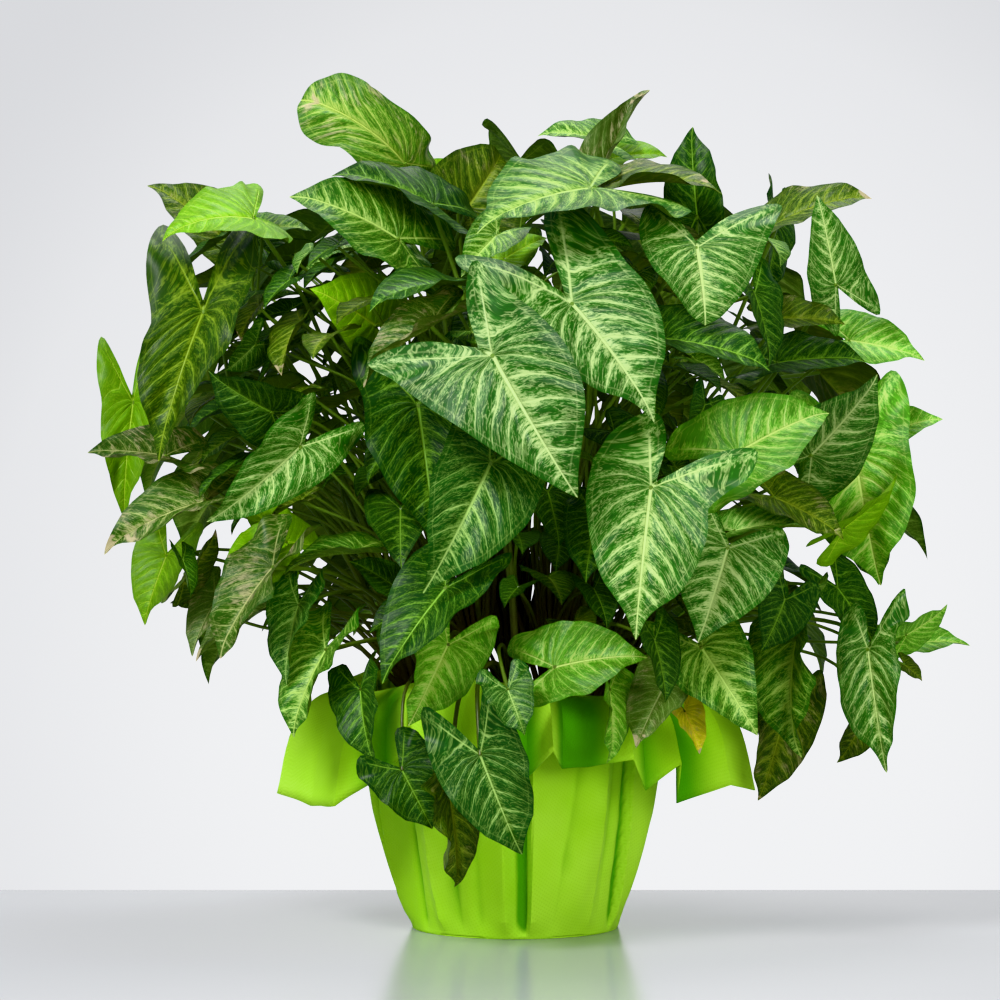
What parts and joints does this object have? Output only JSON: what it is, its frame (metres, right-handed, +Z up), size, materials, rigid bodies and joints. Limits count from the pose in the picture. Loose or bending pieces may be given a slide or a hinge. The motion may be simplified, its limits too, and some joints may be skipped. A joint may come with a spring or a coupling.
{
  "type": "arrowhead plant",
  "caption": "Bushy potted arrowhead plant with variegated arrow-shaped leaves on long petioles, its nursery pot drawn up in a pleated lime fabric sheet.",
  "frame": {"origin": "centre of the flat underside of the wrapped pot, on the surface that it stands on", "axes": "+Z up along the pot's axis, -Y towards the front that the picture shows, +X to the right of that view"},
  "size_m": [0.4322, 0.3635, 0.4214],
  "materials": {
    "foliage": "semi-gloss living leaf",
    "pot_plastic": "matte",
    "wrap_fabric": "matte non-woven",
    "potting_mix": "crumbly peat"
  },
  "bodies": {
    "root": {"leafy_stem_01": "foliage", "leafy_stem_02": "foliage", "leafy_stem_03": "foliage", "leafy_stem_04": "foliage", "leafy_stem_05": "foliage", "leafy_stem_06": "foliage", "leafy_stem_07": "foliage", "leafy_stem_08": "foliage", "leafy_stem_09": "foliage", "leafy_stem_10": "foliage", "leafy_stem_11": "foliage", "leafy_stem_12": "foliage", "leafy_stem_13": "foliage", "leafy_stem_14": "foliage", "nursery_pot": "pot_plastic", "pot_wrap": "wrap_fabric", "potting_soil": "potting_mix"}
  },
  "joints": []
}
